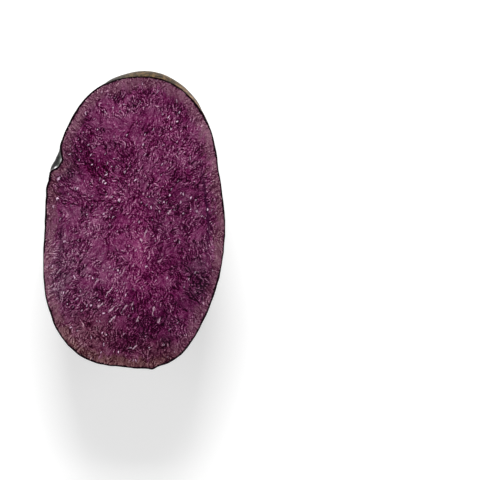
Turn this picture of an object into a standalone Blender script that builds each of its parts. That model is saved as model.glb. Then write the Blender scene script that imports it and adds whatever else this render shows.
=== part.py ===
"""Half of a purple-fleshed potato, cut lengthwise, lying on its rounded back with the cut face up.

The model is in metres, +Z up. +X runs across the cut and +Y along it, towards the rose end, where the
eyes stand closest. The origin is on the surface that the half rests on, under the middle of its box.
The shape is worked out in millimetres with the middle of the cut at zero, and set down at the end.
"""

import math

import bmesh
import bpy
import numpy as np

NAME = "purple_potato_half"
MM = 0.001

# The cut, in its own plane: a squarish oval with low swellings on its edge
CUT_HALF_WIDTH = 24.3
CUT_HALF_LENGTH = 38.8
CUT_SQUARENESS = 2.41
# direction in degrees from +X, height in mm, spread in degrees
CUT_SWELLINGS = (
    (29, -1.1, 18),
    (127, -1.9, 23),
    (237, 3.3, 32),
    (273, 0.9, 7),
    (285, 2.1, 13),
    (288, -1.6, 38),
)

# The rounded back, under the cut
DEPTH = 25.0
BACK_SQUARENESS = 2.2
# At the rose end the knife left the widest level of the tuber this far under the cut
WIDEST_DROP = 6.4
WIDEST_TOWARDS = 84.0
WIDEST_SPREAD = (28.0, 19.0)
# The lowest skin is pressed flat by this much where the half rests
RESTING_FLAT = 0.35

# Low lumps of the back: direction in degrees, steepness under the cut in degrees, height and spread in mm
LUMPS = (
    (15, 38, 0.7, 11),
    (75, 52, -0.6, 9),
    (143, 17, 0.7, 6),
    (165, 48, -0.7, 10),
    (215, 30, 0.6, 12),
    (285, 44, -0.5, 9),
    (335, 24, -0.5, 10),
)
LUMP_RIM_FADE = 4.0

# Eyes follow one another round the long axis by the golden angle, closer towards the rose end
GOLDEN_ANGLE = 137.5
CUT_EYE_TURN = 180.0
CUT_EYE_ALONG = 17.6
EYE_CROWDING = 0.83
EYE_NUMBERS = range(-6, 8)
EYE_TURNS_ON_THE_HALF = (20.0, 170.0)
EYE_SHRINKS_BY = 0.95
# A short step along the skin, in mm, that shows which way the rose end lies from an eye
EYE_STEP = 0.5

# One eye: a hollow with a bud in it and a raised brow on its stalk side
EYE_DEPTH = 2.0
CUT_EYE_DEPTH = 2.15
EYE_ROSE_SIDE = 2.4
EYE_STALK_SIDE = 3.8
EYE_HALF_ACROSS = 4.6
BUD_HEIGHT = 0.5
BUD_HALF_SIZE = (0.9, 2.0)
BROW_HEIGHT = 0.55
BROW_FROM_BUD = 4.4
BROW_CURVE = 0.022
BROW_THICKNESS = 1.1
BROW_HALF_LENGTH = 9.0

# The scar of the stalk, a small nib on the edge of the cut at the other end
STALK_SCAR_TOWARDS = 276.5
STALK_SCAR_HEIGHT = 0.4
STALK_SCAR_SPREAD = 1.0

# Directions are crowded this much towards the ends, so that cells stay even on the long shape
CROWDING = math.sqrt(CUT_HALF_LENGTH / CUT_HALF_WIDTH)
# Rows of cells along each side of the ball that the skin is shaped from
SKIN_CELLS = 38

SKIN_COLOUR = (0.022, 0.014, 0.020, 1.0)
FLESH_COLOUR = (0.115, 0.016, 0.075, 1.0)


def clear_scene():
    """Remove whatever the file holds at the start."""
    for item in list(bpy.data.objects):
        bpy.data.objects.remove(item, do_unlink=True)


def material(name, colour, roughness):
    """A plain finish in the part's own colour."""
    finish = bpy.data.materials.new(name)
    finish.use_nodes = True
    shader = finish.node_tree.nodes["Principled BSDF"]
    shader.inputs["Base Color"].default_value = colour
    shader.inputs["Roughness"].default_value = roughness
    shader.inputs["Metallic"].default_value = 0.0
    finish.diffuse_color = colour
    return finish


def turned_from(angle, middle):
    """The angle in degrees from a middle direction, between -180 and 180."""
    return (angle - middle + 180.0) % 360.0 - 180.0


def bell(distance, spread):
    """A bell curve: one in the middle, and 1/e at the spread."""
    return np.exp(-((distance / spread) ** 2))


def cut_radius(azimuth):
    """The cut's edge from its middle: a superellipse with bell-shaped swellings added to its radius."""
    across = np.abs(np.cos(np.radians(azimuth))) / CUT_HALF_WIDTH
    along = np.abs(np.sin(np.radians(azimuth))) / CUT_HALF_LENGTH
    radius = (across**CUT_SQUARENESS + along**CUT_SQUARENESS) ** (-1.0 / CUT_SQUARENESS)
    for middle, height, spread in CUT_SWELLINGS:
        radius = radius + height * bell(turned_from(azimuth, middle), spread)
    return radius


def widest_drop(azimuth):
    """How far the widest level lies under the cut: a bell towards the rose end, and nothing elsewhere."""
    offset = turned_from(azimuth, WIDEST_TOWARDS)
    return WIDEST_DROP * bell(offset, np.where(offset < 0.0, WIDEST_SPREAD[0], WIDEST_SPREAD[1]))


def bare_skin(directions):
    """Skin points for unit directions with z at or under zero.

    Each upright half-plane through the middle holds a quarter of a superellipse, drawn from the cut
    to the lowest point. Where the widest level lies under the cut, the curve starts above that level,
    and is made wider so that it still meets the cut's edge.
    """
    azimuth = np.degrees(np.arctan2(directions[:, 1] * CROWDING, directions[:, 0]))
    steepness = np.arcsin(np.clip(-directions[:, 2], 0.0, 1.0)) / (math.pi / 2.0)
    power = 2.0 / BACK_SQUARENESS
    drop = widest_drop(azimuth)
    start = -np.arcsin((drop / (DEPTH - drop)) ** (1.0 / power))
    turn = start + (math.pi / 2.0 - start) * steepness
    widest = cut_radius(azimuth) / np.cos(start) ** power
    reach = widest * np.clip(np.cos(turn), 0.0, 1.0) ** power
    level = -drop - (DEPTH - drop) * np.sign(turn) * np.abs(np.sin(turn)) ** power
    level[steepness == 0.0] = 0.0
    angle = np.radians(azimuth)
    return np.column_stack((reach * np.cos(angle), reach * np.sin(angle), level))


def skin_at(azimuth, steepness):
    """The bare skin's point at an azimuth and a steepness under the cut, both in degrees."""
    across = math.cos(math.radians(azimuth))
    along = math.sin(math.radians(azimuth)) / CROWDING
    level = math.cos(math.radians(steepness)) / math.hypot(across, along)
    fall = -math.sin(math.radians(steepness))
    return bare_skin(np.array([(across * level, along * level, fall)]))[0]


def skin_along(turn, along):
    """The bare skin's point at a turn round the long axis in degrees and a distance along it in mm.

    The azimuth and the steepness are those of an ellipsoid as wide, long and deep as the half.
    """
    side, rise = math.radians(turn), math.asin(along / CUT_HALF_LENGTH)
    across = CUT_HALF_WIDTH * math.cos(side) * math.cos(rise)
    azimuth = math.degrees(math.atan2(along, across))
    steepness = math.degrees(math.asin(abs(math.sin(side)) * math.cos(rise)))
    return skin_at(azimuth, steepness)


def eyes():
    """Turn, distance along and size of each eye on this half, and whether the knife went through it.

    The eye that the knife went through is number zero, and the numbers rise towards the rose end.
    """
    found = []
    for number in EYE_NUMBERS:
        turn = (CUT_EYE_TURN + GOLDEN_ANGLE * number) % 360.0
        along = CUT_HALF_LENGTH - (CUT_HALF_LENGTH - CUT_EYE_ALONG) * EYE_CROWDING**number
        size = EYE_SHRINKS_BY ** max(number, 0)
        is_cut = number == 0
        if is_cut or EYE_TURNS_ON_THE_HALF[0] < turn < EYE_TURNS_ON_THE_HALF[1]:
            found.append((turn, along, size, is_cut))
    return found


def eye_relief(points, turn, along, size, is_cut):
    """How far one eye lifts the skin, in mm along the ray from the middle of the cut.

    On the skin, u runs from the bud towards the rose end and v across it. The hollow is a bell, steeper
    on its rose side. The bud is a small bell in it. The brow is a bell across a line that bends round
    the hollow on the stalk side, and it fades at both ends.
    """
    middle = skin_along(turn, along)
    ahead = skin_along(turn, along + EYE_STEP)
    towards_rose = (ahead - middle) / np.linalg.norm(ahead - middle)
    outward = middle / np.linalg.norm(middle)
    across = np.cross(towards_rose, outward)
    across = across / np.linalg.norm(across)
    offset = (points - middle) / size
    u = offset @ towards_rose
    v = offset @ across
    depth = CUT_EYE_DEPTH if is_cut else EYE_DEPTH
    hollow = -depth * bell(u, np.where(u > 0.0, EYE_ROSE_SIDE, EYE_STALK_SIDE))
    hollow = hollow * bell(v, EYE_HALF_ACROSS)
    bud_height = 0.0 if is_cut else BUD_HEIGHT
    bud = bud_height * bell(u, BUD_HALF_SIZE[0]) * bell(v, BUD_HALF_SIZE[1])
    brow_line = u + BROW_FROM_BUD - BROW_CURVE * v**2
    brow = BROW_HEIGHT * bell(brow_line, BROW_THICKNESS) * bell(v**2, BROW_HALF_LENGTH**2)
    near = (points @ middle) > 0.0
    return np.where(near, (hollow + bud + brow) * size, 0.0)


def lump_relief(points, azimuth, steepness, height, spread):
    """A low lump or hollow of the back: a bell round its middle that fades to nothing at the cut."""
    distance = np.linalg.norm(points - skin_at(azimuth, steepness), axis=1)
    return height * bell(distance, spread) * (1.0 - bell(points[:, 2], LUMP_RIM_FADE))


def skin_points(directions):
    """The finished skin: lumps, eyes and the scar of the stalk move it along rays from the cut's middle.

    Those rays lie in the cut for every point on its edge, so the edge stays flat.
    """
    points = bare_skin(directions)
    lift = np.zeros(len(points))
    for lump in LUMPS:
        lift = lift + lump_relief(points, *lump)
    for eye in eyes():
        lift = lift + eye_relief(points, *eye)
    distance = np.linalg.norm(points - skin_at(STALK_SCAR_TOWARDS, 0.0), axis=1)
    lift = lift + STALK_SCAR_HEIGHT * bell(distance, STALK_SCAR_SPREAD)
    reach = np.linalg.norm(points, axis=1)
    return points * ((reach + lift) / reach)[:, None]


def set_down(points):
    """Press the lowest skin flat, and put the box's middle over the origin with the flat at zero."""
    lowest = points[:, 2].min() + RESTING_FLAT
    points[:, 2] = np.maximum(points[:, 2], lowest)
    middle = (points.min(axis=0) + points.max(axis=0)) / 2.0
    return points - np.array([middle[0], middle[1], lowest])


def lower_half_ball():
    """The lower half of a cube in even cells, closed on top by one face."""
    ball = bmesh.new()
    bmesh.ops.create_cube(ball, size=2.0)
    bmesh.ops.subdivide_edges(ball, edges=ball.edges[:], cuts=SKIN_CELLS - 1, use_grid_fill=True)
    half_a_cell = 1.0 / SKIN_CELLS
    above = [vertex for vertex in ball.verts if vertex.co.z > half_a_cell]
    bmesh.ops.delete(ball, geom=above, context="VERTS")
    edge = [side for side in ball.edges if side.is_boundary]
    bmesh.ops.holes_fill(ball, edges=edge, sides=0)
    bmesh.ops.recalc_face_normals(ball, faces=ball.faces[:])
    return ball


def potato_half(collection):
    """The half as one closed body: the cut face on top and the skin all round under it."""
    mesh = bpy.data.meshes.new(NAME)
    ball = lower_half_ball()
    ball.to_mesh(mesh)
    ball.free()

    corners = np.empty(len(mesh.vertices) * 3)
    mesh.vertices.foreach_get("co", corners)
    rounded = np.tan(corners.reshape(-1, 3) * math.pi / 4.0)
    directions = rounded / np.linalg.norm(rounded, axis=1)[:, None]
    directions[np.abs(rounded[:, 2]) < 1.0 / SKIN_CELLS, 2] = 0.0
    points = set_down(skin_points(directions)) * MM
    mesh.vertices.foreach_set("co", points.astype(np.float32).ravel())

    mesh.materials.append(material("potato_skin", SKIN_COLOUR, 0.5))
    mesh.materials.append(material("potato_flesh", FLESH_COLOUR, 0.4))
    for face in mesh.polygons:
        is_cut = len(face.vertices) > 4
        face.material_index = 1 if is_cut else 0
        face.use_smooth = not is_cut
    mesh.update()
    half = bpy.data.objects.new(NAME, mesh)
    collection.objects.link(half)
    return half


def main():
    clear_scene()
    collection = bpy.data.collections.new("purple_potato")
    bpy.context.scene.collection.children.link(collection)
    potato_half(collection)


main()
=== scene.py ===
"""Looks for half of a purple-fleshed potato, cut lengthwise and lying on its rounded back.

The cut's wet, streaked flesh and the dark, pitted skin are one closed piece, which stands for the
model's own solid. Shapes are worked out in millimetres, with the middle of the cut at zero and the
rose end, where the eyes stand closest, towards +Y.
"""

import math

import bpy
import numpy as np
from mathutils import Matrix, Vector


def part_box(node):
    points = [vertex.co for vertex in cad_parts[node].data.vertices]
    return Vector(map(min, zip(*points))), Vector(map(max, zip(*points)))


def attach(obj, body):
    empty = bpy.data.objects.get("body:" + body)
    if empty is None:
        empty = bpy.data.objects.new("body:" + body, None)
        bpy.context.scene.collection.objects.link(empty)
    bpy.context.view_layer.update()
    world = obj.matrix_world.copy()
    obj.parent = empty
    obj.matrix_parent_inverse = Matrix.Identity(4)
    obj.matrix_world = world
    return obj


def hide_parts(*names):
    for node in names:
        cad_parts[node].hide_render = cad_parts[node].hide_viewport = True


bl_info = {
    "name": "Purple Potato Half",
    "version": (1, 0, 0),
    "blender": (4, 5, 0),
    "location": "3D View > Sidebar > Potato",
    "description": "Half of a purple-fleshed potato with its cut face up, and a plain pale stage",
    "category": "Add Mesh",
}

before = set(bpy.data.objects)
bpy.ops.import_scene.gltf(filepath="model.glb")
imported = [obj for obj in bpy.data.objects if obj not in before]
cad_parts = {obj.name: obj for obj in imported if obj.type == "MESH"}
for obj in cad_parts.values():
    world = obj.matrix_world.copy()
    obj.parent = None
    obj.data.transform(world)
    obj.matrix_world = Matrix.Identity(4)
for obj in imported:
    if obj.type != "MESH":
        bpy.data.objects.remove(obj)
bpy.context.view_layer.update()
BOX_LOW, BOX_HIGH = (np.array(corner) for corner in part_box("purple_potato_half"))
PIECE = "purple_potato_half_fine"
MM = 0.001

# The cut, in its own plane: a squarish oval with low swellings on its edge
CUT_HALF_WIDTH = 24.3
CUT_HALF_LENGTH = 38.8
CUT_SQUARENESS = 2.41
# Direction in degrees from +X, height in mm, spread in degrees
CUT_SWELLINGS = (
    (29, -1.1, 18),
    (127, -1.9, 23),
    (237, 3.3, 32),
    (273, 0.9, 7),
    (285, 2.1, 13),
    (288, -1.6, 38),
)
# Smaller unevenness of the same edge, which the plain solid leaves out
FINE_SWELLINGS = (
    (157, 0.3, 9),
    (24, 0.15, 5),
    (203, 0.14, 7),
    (227, -0.2, 5),
    (273, -0.18, 5),
    (355, 0.16, 6),
    (83, 0.29, 11),
)
EDGE_WAVES = 0.09
EDGE_FADE = 4.0

# The rounded back, under the cut
DEPTH = 25.0
BACK_SQUARENESS = 2.2
# At the rose end the knife left the widest level of the tuber this far under the cut
WIDEST_DROP = 6.4
WIDEST_TOWARDS = 84.0
WIDEST_SPREAD = (28.0, 19.0)

# Low lumps of the back: direction in degrees, steepness under the cut in degrees, height and spread in mm
LUMPS = (
    (15, 38, 0.7, 11),
    (75, 52, -0.6, 9),
    (143, 17, 0.7, 6),
    (165, 48, -0.7, 10),
    (215, 30, 0.6, 12),
    (285, 44, -0.5, 9),
    (335, 24, -0.5, 10),
)
# Low folds of skin under the edge at the rose end and below the cut eye
FINE_LUMPS = (
    (94, 15, 0.5, 5.0),
    (67, 14, 0.45, 5.0),
    (144, 14, 0.35, 2.5),
    (100, 12, 0.35, 2.4),
    (62, 12, 0.3, 2.2),
)
LUMP_RIM_FADE = 4.0

# Eyes follow one another round the long axis by the golden angle, closer towards the rose end
GOLDEN_ANGLE = 137.5
CUT_EYE_TURN = 180.0
CUT_EYE_ALONG = 17.6
EYE_CROWDING = 0.83
EYE_NUMBERS = range(-6, 8)
EYE_TURNS_ON_THE_HALF = (20.0, 170.0)
EYE_SHRINKS_BY = 0.95
EYE_STEP = 0.5

# One eye: a hollow with a bud in it and a raised brow on its stalk side
EYE_DEPTH = 2.0
CUT_EYE_DEPTH = 2.05
EYE_ROSE_SIDE = 2.4
CUT_EYE_ROSE_SIDE = 1.9
EYE_STALK_SIDE = 3.8
EYE_HALF_ACROSS = 4.6
BUD_HEIGHT = 0.5
BUD_HALF_SIZE = (0.9, 2.0)
BROW_HEIGHT = 0.55
BROW_FROM_BUD = 4.4
BROW_CURVE = 0.022
BROW_THICKNESS = 1.1
BROW_HALF_LENGTH = 9.0
# Fine relief of an eye, where the bud's scales overlap and the skin creases along the brow
SCALE_LINES = (-0.9, 0.1, 1.0)
SCALE_CURVE = 0.04
SCALE_DEPTH = 0.22
SCALE_THICKNESS = 0.28
SCALE_HALF_LENGTH = 2.6
CREASE_LINES = (-2.6, 2.2)
CREASE_DEPTH = 0.12
CREASE_THICKNESS = 0.5

# The scar of the stalk, a small nib on the edge of the cut at the other end
STALK_SCAR_TOWARDS = 276.5
STALK_SCAR_HEIGHT = 0.4
STALK_SCAR_SPREAD = 1.0

# Noises of the surface: size in mm and seed, after their share where they are mixed
NOISE_TABLE = 32
EDGE_NOISE = (1.7, 31)
SKIN_NOISES = ((0.6, 2.4, 11), (0.4, 1.0, 12))
STREAK_NOISE = (0.8, 21)
STREAK_SHARE = 1.6
CRUMB_NOISE = (0.6, 22)
CRUMB_SHARE = 0.4
# By the cut the skin's grain has this share of its depth, and it gains the rest over this many mm
GRAIN_BY_CUT = 0.25
GRAIN_FADE = 1.2
# The cut's own grain has its whole depth this far from the edge
GRAIN_FROM_SKIN = 0.8

# Directions are crowded this much towards the ends, so that cells stay even on the long shape
CROWDING = math.sqrt(CUT_HALF_LENGTH / CUT_HALF_WIDTH)
# Cells along each side of the square grid that makes each of the two faces
CELLS = 212
# Edges sharper than this, in degrees, aren't smoothed over
SHARP_EDGE = 60.0

# The pith is a short line in the cut, and the flesh's fibres fan out from its two ends
PITH_ENDS = ((1.2, 6.9), (1.2, -11.1))
PITH_NEAREST = 0.5
# They also lean this way, in degrees from +X, with this weight beside their fan, and more beside the pith
FIBRE_LEAN = 86.0
FIBRE_LEAN_WEIGHT = 0.5
FIBRE_LEAN_BY_PITH = 0.8
PITH_MIDDLE = -4.0
PITH_REACH = 11.0
# Noise is drawn out along them by averaging it over a few places in a row
STREAK_PLACES = (-2, -1, 0, 1, 2)
STREAK_STEP = 0.45
SHADER_PLACES = 4

# Torn fibres stand up as pale ridges, each with a painted highlight on its top and a painted shade line
# beside it: middle and half length in mm, turn in degrees and strength
RIDGES = (
    ((-6.1, -26.3), 1.3, 52, 1), ((-7.1, -19.2), 1.5, 48, 0.9), ((-9.3, -22.8), 1.1, 44, 0.7),
    ((-6.4, -24), 0.9, 48, 0.75), ((-2.9, -23.4), 1.1, 58, 0.7), ((-0.9, -22.3), 0.7, 75, 0.5),
    ((4.9, -24.2), 1.3, 84, 0.75), ((6.3, -27), 0.6, 66, 0.85), ((0.6, -26.3), 0.7, 92, 0.6),
    ((-10.4, -16.3), 0.9, 64, 0.5), ((-3.3, -13.8), 1.2, 68, 0.45), ((-0.1, -34), 0.8, 50, 0.7),
    ((2.7, -3.4), 1.2, 74, 0.6), ((1.6, -5.2), 0.5, 95, 0.8), ((9.2, 2.4), 0.6, 60, 0.8),
)
RIDGE_HALF_WIDTH = 0.36
RIDGE_BEND = 0.09
RIDGE_WAVE = 2.4

# The dark line of vessels lies this far inside the cut's edge
RING_FROM_EDGE = 4.6
# Soft patches of the cut: middle and half size in mm, turn in degrees and strength. Thin is where the
# skin's line is thinner, ring where the dark line of vessels shows, glints where the painted glints
# crowd, and grey where the flesh is greyer than its tone, or with a strength under zero redder.
PATCHES = {
    "rosy": (
        (1, -6.5, 2.6, 9.5, 0, 1), (5, -13, 7, 5, 20, 0.4), (0, 7, 3, 7, 0, 0.2),
        (2, -19, 9, 3.5, 0, 0.25),
    ),
    "dark": (
        (-13, 17.3, 8.5, 4, -29, 1.15), (2, -31, 14, 8.5, 0, 1.45), (23, 3, 2.5, 14, 0, 0.7),
        (21.5, -13.5, 2.5, 3, 0, 0.7), (10.4, 8.3, 4.5, 4.5, 0, 0.9), (-21.5, 5, 3, 6, 0, 0.8),
        (-17.5, 14, 2.5, 3.5, 0, 0.5), (5, -2.5, 3, 3, 0, 0.4), (-5.8, -2.5, 3, 3, 0, 0.45),
        (-11, -8, 3.5, 3, 0, 0.6), (21, 11, 2.5, 4, 0, 0.4), (3.5, 0.5, 5, 4, 0, 0.5),
        (15.8, 2.9, 3, 3, 0, 0.5), (9.5, 34, 4.5, 2.5, -20, 0.6), (1, -21.5, 9, 4.5, 0, 0.45),
        (12.5, -15, 7, 8, 20, 0.65), (5, 35, 8, 3, 0, 0.4), (10, 29, 6, 3, -25, 0.3),
        (-9, -19, 4, 1.2, -50, 0.5), (14, -1, 6, 6, 0, 0.25), (16.5, -19, 3.5, 6, 15, 0.4),
        (-19, -23, 3.5, 5, 0, 0.5), (-20, 11, 3, 4, 0, 0.3),
    ),
    "pale": (
        (-11.2, -1.8, 2.8, 1.5, 25, 0.8), (-5, -12.5, 7, 6, 0, 0.5), (-13, -9, 6, 5, 0, 0.3),
        (-21.8, -13, 2.4, 9, 5, 1.3), (-5.8, 13.7, 3, 3, 0, 0.5), (-14, -29.5, 5, 3, 0, 0.45),
        (5, -24, 3, 3, 0, 0.35), (15.8, 29.5, 3, 3, 0, 0.5), (-4, 27, 7, 4, 0, 0.25),
        (-14, -19.5, 2, 1.6, 0, 0.7), (-0.4, -8, 3, 5, 0, 0.35), (-14, -34, 6, 2.4, -30, 0.8),
        (0, -38, 9, 2.2, 0, 0.9),
    ),
    "brown": (
        (-15, -31, 9, 9, 0, 1), (22, -2, 4, 12, 0, 0.35), (-21, 10, 3, 6, 0, 0.6), (2, -38, 18, 4, 0, 1),
    ),
    "grey": (
        (-21, -15, 7.5, 9, 0, 0.6), (17.5, -16.5, 4, 9, 0, 0.6), (9.5, -32, 6.5, 5, 0, 0.3),
        (-20, 14.5, 3.5, 4.5, 0, 0.7), (14, 5, 5, 3.5, 0, 0.2), (1.8, 9.6, 2.5, 3, 0, 0.3),
        (-4, -2, 5.5, 9, 0, -0.4), (-8, 13, 6, 5.5, 0, -0.4), (4, 23, 8, 6, 0, -0.3),
        (7, 9.5, 3.5, 3.5, 0, -0.3), (2, -22, 6, 4, 0, -0.2), (13, 18, 6, 6, 0, -0.15),
    ),
    "earthy": (
        (-12.5, -31.5, 8, 6.5, 0, 0.55), (6, -35, 8, 3, 0, 0.45),
    ),
    "glints": (
        (-10, 13.5, 7, 4, 0, 0.8), (0, 13.5, 6, 3, 0, 0.4), (11, 5, 8, 4, 0, 0.8),
        (-7, 28, 9, 5, 0, 0.4), (-12, 3, 6, 8, 0, 0.4), (-8, -18, 8, 4, 0, 0.4),
        (-9, -28, 8, 5, 0, 0.35), (15, -29, 4, 4, 0, 0.5),
    ),
    "thin": (
        (3, 37, 15, 8, 0, 1), (-23.5, -14, 5, 14, 0, 0.6), (17, -27, 9, 9, 0, 0.6),
    ),
    "ring": (
        (19, 3, 4, 13, 0, 1), (-19, -4, 4, 14, 0, 0.5),
    ),
}

# Painted highlights, white spots on the cut eye's wet hollow: place in the cut's plane and size in mm,
# and how far down they lie
PAINTED_HIGHLIGHT_SPOTS = (
    ((-19.8, 16.3), 0.4),
    ((-21.45, 14.2), 0.4),
)
PAINTED_HIGHLIGHT_UNDER = 1.8
PAINTED_HIGHLIGHT_REACH = 1.1

# Olive brown skin under the edge at the rose end, partly russet and partly painted light where it faces
# the light: directions and spreads in degrees, depths in mm
LIT_RUSSET_TOWARDS = (80.0, 36.0)
LIT_RUSSET_FALL = (7.0, 7.0)
LIT_RUSSET_STRENGTH = 1.3
LIT_RUSSET_DARK_TOWARDS = (101.0, 10.0)
LIT_RUSSET_PALE_FROM = 76.0
LIT_RUSSET_PALE_OVER = 14.0
LIT_RUSSET_PALE_UNDER = (0.9, 1.3)

# Tones of the flesh, in spreads from its mean, and the colours seen at those tones
TONE_RANGE = (-2.6, 3.6)
TONE_STOPS = (-2.4, -1.6, -0.6, 0.0, 0.7, 1.7, 2.5, 3.4)
TONES = {
    "flesh": (
        (32, 2, 20), (54, 3, 35), (87, 16, 63), (103, 36, 78),
        (118, 55, 93), (146, 83, 120), (173, 118, 148), (208, 166, 189),
    ),
    "grey": (
        (21, 12, 21), (40, 16, 36), (74, 34, 58), (90, 51, 76),
        (105, 70, 91), (133, 98, 118), (163, 130, 146), (201, 174, 188),
    ),
    "red": (
        (38, 0, 16), (62, 0, 30), (96, 5, 65), (112, 25, 80),
        (127, 44, 95), (155, 72, 122), (181, 108, 150), (214, 158, 191),
    ),
    "rosy": (
        (56, 0, 34), (80, 0, 53), (111, 24, 79), (123, 40, 91),
        (134, 54, 101), (162, 92, 130), (185, 124, 156), (216, 172, 196),
    ),
    "band": (
        (76, 30, 54), (91, 44, 69), (111, 63, 86), (121, 75, 97),
        (131, 87, 107), (156, 112, 128), (174, 132, 145), (200, 165, 178),
    ),
    "brown": (
        (42, 4, 20), (59, 18, 33), (84, 44, 53), (101, 62, 67),
        (119, 82, 84), (144, 104, 108), (162, 124, 126), (192, 154, 156),
    ),
}
# Colours of single marks
MARKS = {
    "skin line": (22, 6, 15),
    "vessels": (52, 8, 42),
    # A pale torn fibre with a painted highlight on its top, and the painted shade line beside it
    "torn fibre highlight": (230, 194, 214),
    "torn fibre shade": (40, 2, 26),
    # A painted glint
    "glint": (250, 206, 236),
    "darkest skin": (20, 14, 18),
    "skin grain": (70, 59, 62),
    "skin net": (84, 72, 66),
    "pore": (116, 84, 60),
    "worn brow": (104, 84, 66),
    "hollow": (12, 8, 10),
    # Skin under the edge at the rose end, partly russet and partly painted light: the next five colours
    "lit russet dark": (42, 33, 22),
    "lit russet pale": (190, 150, 120),
    "lit russet low": (54, 47, 34),
    "blackish": (20, 18, 15),
    "greyish": (70, 66, 56),
    "cut hollow": (48, 50, 45),
    "cut hollow pale": (92, 92, 85),
    "cut hollow deep": (10, 9, 9),
    # A painted lit band by the cut in the cut eye's hollow, and its white painted highlights
    "cut hollow lit": (152, 145, 146),
    "painted_highlight": (250, 246, 250),
}
# The middle of a noise, and of each channel of a coloured one
MEAN = 0.5
MEANS = (MEAN, MEAN, MEAN)
# Fields of the two materials that are noises
NOISES = ("grain", "streaks", "clumps", "clouds", "dust", "tint", "fine", "layered")
# Group inputs that are vectors
VECTORS = ("Place", "Middle")

# The stage, in metres
FLOOR_HALF_SIDE = 2.0
FLOOR_ROUGHNESS = 0.8
WHITE = (1.0, 1.0, 1.0, 1.0)
HORIZON = (0.9, 0.9, 0.9, 1.0)
OVERHEAD = (0.03, 0.03, 0.03, 1.0)
OVERHEAD_FROM = 0.9
KEY_LIGHT = ((-0.03, 0.95, 0.65), 0.5)
LEFT_LIGHT = ((-0.9, 0.0, 0.6), 0.7)
RIGHT_LIGHT = ((0.9, 0.05, 0.6), 0.7)
# Where the photograph was framed: its middle and the cut's middle in pixels, and the cut's real scale
PICTURE_MIDDLE = (240.0, 240.0)
CUT_MIDDLE_IN_PICTURE = (135.4, 220.7)
PICTURE_SIDE = 480
MM_PER_PIXEL = 0.2696
CAMERA_ABOVE_CUT = 3.0
SENSOR_WIDTH = 36.0


def srgb(red, green, blue):
    """A colour as seen, with channels up to 255, as the linear colour that a shader takes."""
    seen = np.array((red, green, blue)) / 255.0
    linear = np.where(seen <= 0.04045, seen / 12.92, ((seen + 0.055) / 1.055) ** 2.4)
    return tuple(float(channel) for channel in linear) + (1.0,)


def amount(name, description, default):
    """A property for a length or strength that isn't under zero."""
    return bpy.props.FloatProperty(name=name, description=description, default=default, min=0.0)


def power(name, description, default):
    """A property for a light's power."""
    return bpy.props.FloatProperty(name=name, description=description, default=default, unit="POWER")


def colour(name, description, default):
    """A property for a colour."""
    return bpy.props.FloatVectorProperty(
        name=name, description=description, subtype="COLOR", size=4, default=default, min=0.0, max=1.0
    )


class PotatoLooks(bpy.types.PropertyGroup):
    """Sizes in millimetres and colours of the cut half."""

    flesh_relief: amount("Flesh relief", "Depth of the cut's grain in mm", 0.12)
    skin_relief: amount("Skin relief", "Depth of the skin's grain in mm", 0.07)
    skin_line: amount("Skin line", "Thickness of the skin on the cut in mm", 0.52)
    outer_band: amount("Outer band", "Width of the paler outer flesh in mm", 2.6)
    skin: colour("Skin", "Lighter clouds of the dark skin", srgb(36, 27, 32))
    # Olive brown of the skin at the rose end, partly russet and partly painted light
    lit_russet: colour("Lit russet skin", "Lighter grain of the olive brown skin at the rose end, partly painted light", srgb(110, 88, 60))


class PotatoStage(bpy.types.PropertyGroup):
    """The floor and the lights round the half."""

    floor_colour: colour("Floor", "Colour of the floor", (0.7, 0.7, 0.7, 1.0))
    floor_glow: amount("Floor glow", "Light given off by the floor, as on a light table", 0.5)
    key_power: power("Key light", "Power of the light at the rose end", 14.2)
    side_power: power("Side lights", "Power of each light at a side", 2.0)


def turned_from(angle, middle):
    """The angle in degrees from a middle direction, between -180 and 180."""
    return (angle - middle + 180.0) % 360.0 - 180.0


def bell(distance, spread):
    """A bell curve: one in the middle, and 1/e at the spread."""
    return np.exp(-((distance / spread) ** 2))


def smooth_step(value):
    """Zero under zero, one over one, and three squares less two cubes between."""
    inside = np.clip(value, 0.0, 1.0)
    return inside * inside * (3.0 - 2.0 * inside)


def noise(points, size, seed):
    """Smooth noise from -1 to 1: random values at the corners of cubes of a size, blended between."""
    table = np.random.default_rng(seed).uniform(-1.0, 1.0, (NOISE_TABLE,) * 3)
    cell = points / size
    corner = np.floor(cell).astype(int)
    blend = smooth_step(cell - corner)
    total = np.zeros(len(points))
    for step in np.ndindex(2, 2, 2):
        share = np.prod(np.where(np.array(step) == 1, blend, 1.0 - blend), axis=1)
        at = (corner + np.array(step)) % NOISE_TABLE
        total = total + share * table[at[:, 0], at[:, 1], at[:, 2]]
    return total


def swellings(azimuth, table):
    """Bells round directions, in mm."""
    return sum(height * bell(turned_from(azimuth, middle), spread) for middle, height, spread in table)


def cut_radius(azimuth):
    """The cut's edge from its middle: a superellipse with bell-shaped swellings added to its radius."""
    across = np.abs(np.cos(np.radians(azimuth))) / CUT_HALF_WIDTH
    along = np.abs(np.sin(np.radians(azimuth))) / CUT_HALF_LENGTH
    radius = (across**CUT_SQUARENESS + along**CUT_SQUARENESS) ** (-1.0 / CUT_SQUARENESS)
    return radius + swellings(azimuth, CUT_SWELLINGS)


def edge_relief(points, azimuth):
    """Small swellings and waves of the cut's edge, which fade out down the skin."""
    lift = EDGE_WAVES * noise(points, *EDGE_NOISE) + swellings(azimuth, FINE_SWELLINGS)
    return lift * bell(points[:, 2], EDGE_FADE)


def widest_drop(azimuth):
    """How far the widest level lies under the cut: a bell towards the rose end, and nothing elsewhere."""
    offset = turned_from(azimuth, WIDEST_TOWARDS)
    return WIDEST_DROP * bell(offset, np.where(offset < 0.0, WIDEST_SPREAD[0], WIDEST_SPREAD[1]))


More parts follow.
